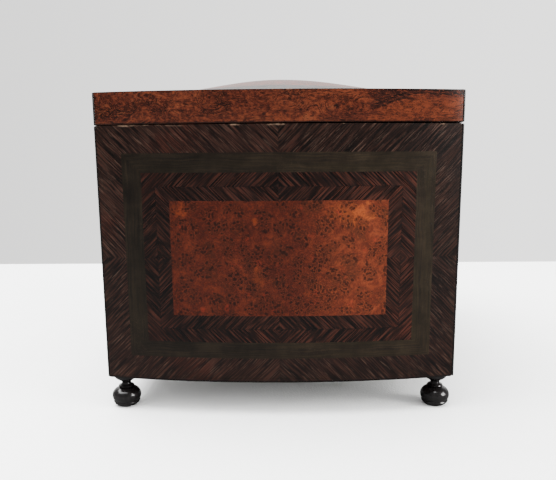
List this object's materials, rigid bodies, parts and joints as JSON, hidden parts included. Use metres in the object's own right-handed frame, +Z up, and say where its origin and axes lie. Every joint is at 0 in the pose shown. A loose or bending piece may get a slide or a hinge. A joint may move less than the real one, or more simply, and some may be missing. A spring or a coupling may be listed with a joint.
{
  "type": "marquetry puzzle casket",
  "caption": "Bow-sided veneered casket with a hinged domed lid, lock and key, turned feet and a secret base drawer freed by a turning foot.",
  "frame": {"origin": "under the middle of the whole object, key and hinges included, at the level of the feet's undersides", "axes": "+Z up, +X along the length, front with the lock faces -Y, hinges at +Y"},
  "size_m": [0.3126, 0.2466, 0.2038],
  "materials": {
    "carcass_wood": "satin",
    "drawer_wood": "satin",
    "rosewood_crossband": "gloss",
    "green_stained_wood": "gloss",
    "chevron_rosewood": "gloss",
    "burr_thuya": "gloss",
    "rim_burr": "gloss",
    "ebonised_wood": "gloss",
    "velvet": "matte",
    "satin": "satin",
    "brass": "polished",
    "dark_brass": "satin",
    "key_steel": "satin"
  },
  "bodies": {
    "case": {"bottom_board": "carcass_wood", "false_bottom": "carcass_wood", "front_board": "carcass_wood", "back_board": "carcass_wood", "left_end_board": "carcass_wood", "right_end_board": "carcass_wood", "front_runner": "carcass_wood", "back_runner": "carcass_wood", "corner_stringings": "ebonised_wood", "front_crossband": "rosewood_crossband", "front_green_band": "green_stained_wood", "front_chevron_band": "chevron_rosewood", "front_burr_panel": "burr_thuya", "back_crossband": "rosewood_crossband", "back_green_band": "green_stained_wood", "back_chevron_band": "chevron_rosewood", "back_burr_panel": "burr_thuya", "left_crossband": "rosewood_crossband", "left_green_band": "green_stained_wood", "left_chevron_band": "chevron_rosewood", "left_burr_panel": "burr_thuya", "right_crossband": "rosewood_crossband", "right_green_band": "green_stained_wood", "right_chevron_band": "chevron_rosewood", "right_burr_panel": "burr_thuya", "floor_lining": "velvet", "wall_linings": "velvet", "hinge_lower_leaves": "brass", "hinge_lower_screws": "brass", "hinge_pins": "dark_brass", "lock_case": "brass", "escutcheon": "brass", "foot_front_left": "ebonised_wood", "foot_back_left": "ebonised_wood", "foot_back_right": "ebonised_wood"},
    "lid": {"lid_front_rim": "carcass_wood", "lid_back_rim": "carcass_wood", "lid_left_rim": "carcass_wood", "lid_right_rim": "carcass_wood", "lid_rim_veneer": "rim_burr", "lid_corner_stringings": "ebonised_wood", "lid_top_panel": "carcass_wood", "lid_top_crossband": "rosewood_crossband", "lid_top_green_band": "green_stained_wood", "lid_top_chevron_band": "chevron_rosewood", "lid_top_burr": "burr_thuya", "lid_lining": "satin", "hinge_upper_leaves": "brass", "hinge_upper_screws": "brass", "lock_link_plate": "brass"},
    "turning_foot": {"foot_front_right": "ebonised_wood", "turn_button": "dark_brass"},
    "secret_drawer": {"drawer_front": "carcass_wood", "drawer_front_veneer": "rosewood_crossband", "drawer_sides": "drawer_wood", "drawer_back": "drawer_wood", "drawer_floor": "drawer_wood"},
    "lock_bolt": {"lock_bolt": "brass"},
    "key": {"key": "key_steel"}
  },
  "joints": [
    {"name": "lid_hinge", "type": "hinge", "parent": "case", "child": "lid", "pos_m": [0, 0.1197, 0.16465], "axis": [-1, 0, 0], "range_deg": [0, 95]},
    {"name": "key_turn", "type": "hinge", "parent": "case", "child": "key", "pos_m": [0, -0.0863, 0.141], "axis": [0, -1, 0], "range_deg": [0, 90]},
    {"name": "bolt_slide", "type": "slide", "parent": "case", "child": "lock_bolt", "axis": [1, 0, 0], "range_m": [0, 0.004]},
    {"name": "foot_turn", "type": "hinge", "parent": "case", "child": "turning_foot", "pos_m": [0.13468, -0.07598, 0.02], "axis": [0, 0, -1], "range_deg": [0, 90]},
    {"name": "drawer_slide", "type": "slide", "parent": "case", "child": "secret_drawer", "axis": [1, 0, 0], "range_m": [0, 0.15]}
  ],
  "couplings": [
    {"joint": "key_turn", "follows": "bolt_slide", "rad_per_m": 392.69}
  ]
}
